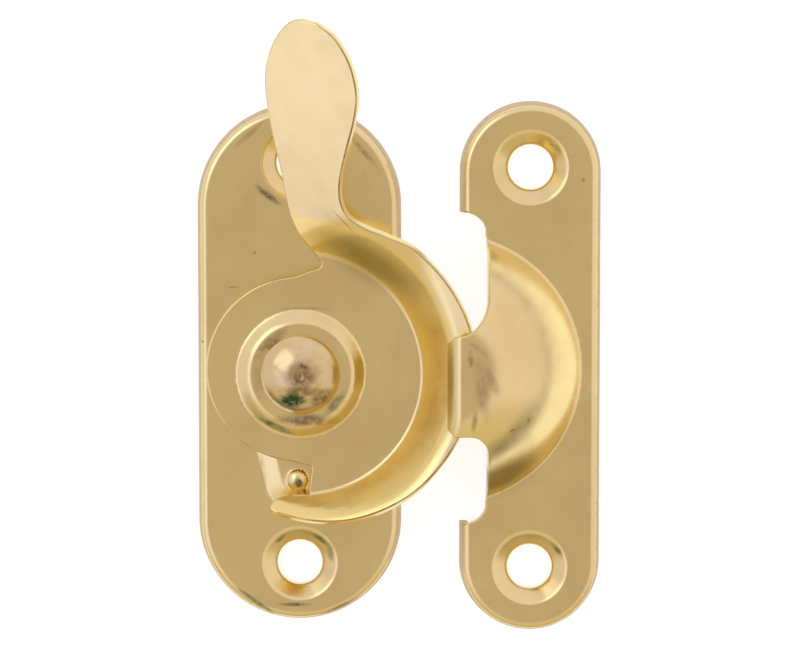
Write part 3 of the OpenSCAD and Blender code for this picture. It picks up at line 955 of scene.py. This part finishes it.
lever_smears = [
    smear(pivot + [-3.7, 4.0], disc_z + boss_h, (3.4, 1.1), 42, 0.75, TARNISH_AND_SHADE),
    smear(pivot + [-5.2, 0.0], disc_z + boss_h, (1.2, 4.0), 0, 0.35, TARNISH_AND_SHADE),
    smear(pivot + [0.6, -5.8], disc_z + boss_h, (5.2, 1.1), 0, 0.85, TARNISH_AND_SHADE),
    smear(pivot + [4.4, -3.6], disc_z + boss_h, (2.6, 0.8), 48, 0.7, TARNISH_AND_SHADE),
    smear(pivot + [-3.2, -6.6], disc_z + 0.8, (3.6, 0.6), -24, 0.85, VERDIGRIS_AND_SHADE),
    smear(pivot + [0.6, 8.2], disc_z, (4.6, 0.3), 0, 0.3, TARNISH_AND_SHADE),
    smear(pivot + [2.6, 20.0], 10.3, (4.2, 2.2), -30, 0.5, RUBBED),
    # Painted shade on the upper trough wall by the tab root.
    smear(pivot + [8.5, 13.7], 7.2, (10.5, 3.6), -33, 1.0, TROUGH_PAINTED_SHADE, True),
    # Painted shade: a thin dark line in the crease at the tab root.
    smear(pivot + [5.4, 19.4], 10.6, (3.6, 0.13), -46, 0.95, DARK),
    # Painted shade: a thin dark line along the disc's lower-left edge.
    smear(pivot + [-5.0, -10.4], disc_z - 0.3, (6.0, 0.35), -24, 0.5, VERDIGRIS_AND_SHADE),
]
lever_brass = plated_brass("cam_lever_brass", BRASS, 0.2, lever_smears, 0.05,
                           drawn=(tuple(pivot * MM), disc_r * MM, wall_top_r * MM))
rivet_smears = [
    smear(pivot, 9.0, (6.5, 6.5), 0, 0.45, RIVET_WORN),
    smear(pivot + [0.1, 0.2], 9.0, (3.2, 2.6), 20, 0.75, RIVET_CROWN),
    smear(pivot + [0.2, -0.3], 9.0, (2.2, 1.6), 0, 0.7, TARNISH_AND_SHADE),
    smear(pivot + [0.4, 1.3], 9.0, (0.9, 0.5), 0, 0.95, DARK),
    # Painted shade on the lower side of the rivet head, in these three marks.
    smear(pivot + [-1.0, -3.0], 8.2, (2.3, 1.25), 0, 1.6, RIVET_PAINTED_SHADE),
    smear(pivot + [2.6, -2.7], 8.2, (2.0, 1.2), 40, 1.1, TARNISH_AND_SHADE),
    smear(pivot + [0.4, -1.9], 8.9, (3.4, 0.9), 0, 0.85, TARNISH_AND_SHADE),
]
rivet_brass = plated_brass("pivot_rivet_brass", (0.84, 0.68, 0.33), 0.16, rivet_smears, 0.5, 0.09)

attach(base_plate(), "base", ["base_plate"], base_brass)
attach(cam_lever(), "cam", ["cam_lever"], lever_brass)
attach(keeper(), "keeper", ["keeper"], keeper_brass)
attach(pivot_rivet(), "base", ["pivot_rivet"], rivet_brass)
refinish("friction_spring", spring_steel("blued_spring_steel", (0.28, 0.29, 0.32), 0.3))
refinish("back_washer", spring_steel("zinc_plated_steel", (0.62, 0.62, 0.6), 0.35))

# ---------------------------------------------------------------- stage, light and camera


# Where the camera looks, on the floor between the plates.
VIEW_CENTRE = (12.7 * MM, 4.708 * MM, 0)


def floor():
    """White paper that glows about the object, painted light that washes out its contact shadows, and falls off to
    a soft grey away from it.
    """
    size = 3.0
    n = Nodes("glowing_floor_paper")
    away = n.add("ShaderNodeVectorMath", operation="DISTANCE")
    n.link(n.place, away.inputs[0])
    away.inputs[1].default_value = VIEW_CENTRE
    edge = n.ramp(away.outputs["Value"], 0.07, 0.17)
    grain = n.ramp(n.noise(300, 3), 0.3, 0.7)
    paper = n.mix(grain, (0.39, 0.39, 0.39, 1), (0.41, 0.41, 0.41, 1))
    n.link(n.mix(edge, paper, (0.5, 0.49, 0.47, 1)), n.shader.inputs["Base Color"])
    n.shader.inputs["Roughness"].default_value = 0.9
    n.shader.inputs["Emission Color"].default_value = (1, 1, 1, 1)
    # Painted light: the paper glows at strength 0.78 about the object, fading to none away from it.
    n.link(n.math("MULTIPLY", n.math("SUBTRACT", 1.0, edge), 0.78), n.shader.inputs["Emission Strength"])
    z = -0.00005
    corners = [(-size, -size, z), (size, -size, z), (size, size, z), (-size, size, z)]
    plane = make_mesh("floor", corners, [(0, 1, 2, 3)])
    plane.data.materials.append(n.material)


def light_tent():
    """World light: a bright tent, dimmer where the camera looks out and dark towards its lower side."""
    world = bpy.data.worlds.new("tent")
    bpy.context.scene.world = world
    world.use_nodes = True
    tree = world.node_tree
    shade = tree.nodes["Background"]
    place = tree.nodes.new("ShaderNodeTexCoord")
    axes = tree.nodes.new("ShaderNodeSeparateXYZ")
    tree.links.new(place.outputs["Generated"], axes.inputs[0])

    def blend(axis, low, high, a, b):
        share = tree.nodes.new("ShaderNodeMapRange")
        share.interpolation_type = "SMOOTHSTEP"
        share.inputs["From Min"].default_value = low
        share.inputs["From Max"].default_value = high
        tree.links.new(axes.outputs[axis], share.inputs["Value"])
        mix = tree.nodes.new("ShaderNodeMix")
        mix.data_type = "RGBA"
        tree.links.new(share.outputs[0], mix.inputs["Factor"])
        for value, name in ((a, "A"), (b, "B")):
            if isinstance(value, tuple):
                mix.inputs[name].default_value = value
            else:
                tree.links.new(value, mix.inputs[name])
        return mix.outputs["Result"]

    left = blend("Z", 0.35, 0.65, (0.8, 0.74, 0.86, 1), (1.05, 1.01, 1.38, 1))
    tent = blend("X", -0.6, -0.1, left, (0.88, 0.81, 1.0, 1))
    tent = blend("X", 0.0, 0.65, tent, (0.9, 0.8, 0.9, 1))
    shadow = blend("Z", -0.05, 0.28, (0.07, 0.075, 0.035, 1), (0.76, 0.64, 0.5, 1))
    tent = blend("Y", -0.62, -0.28, shadow, tent)
    tent = blend("Z", 0.84, 0.955, tent, (0.585, 0.495, 0.46, 1))
    tree.links.new(tent, shade.inputs["Color"])


def softbox(name, place, target, size, power):
    light = bpy.data.lights.new(name, "AREA")
    light.shape = "RECTANGLE"
    light.size, light.size_y = size
    light.energy = power
    lamp = bpy.data.objects.new(name, light)
    lamp.location = place
    lamp.rotation_mode = "QUATERNION"
    lamp.rotation_quaternion = (Vector(target) - Vector(place)).to_track_quat("-Z", "Y")
    bpy.context.scene.collection.objects.link(lamp)


def camera():
    """Camera nearly square on to the plates, tipped a little so that their upper sides show."""
    distance = 0.48
    tilt = math.radians(5.743)
    look_at = Vector(VIEW_CENTRE)
    back = Vector((0, math.sin(tilt), math.cos(tilt)))
    cam = bpy.data.cameras.new("camera")
    cam.sensor_width = 36
    cam.lens = 170.4735
    cam.clip_start, cam.clip_end = 0.01, 10
    eye = bpy.data.objects.new("camera", cam)
    right = Vector((1, 0, 0))
    up = back.cross(right)
    eye.matrix_world = Matrix((right, up, back)).transposed().to_4x4()
    eye.location = look_at + back * distance
    bpy.context.scene.collection.objects.link(eye)
    bpy.context.scene.camera = eye


floor()
light_tent()
softbox("left_softbox", (-0.45, 0.35, 0.5), (0.01, 0, 0), (0.5, 0.5), 0.35)
camera()
bpy.context.scene.view_settings.view_transform = "Standard"
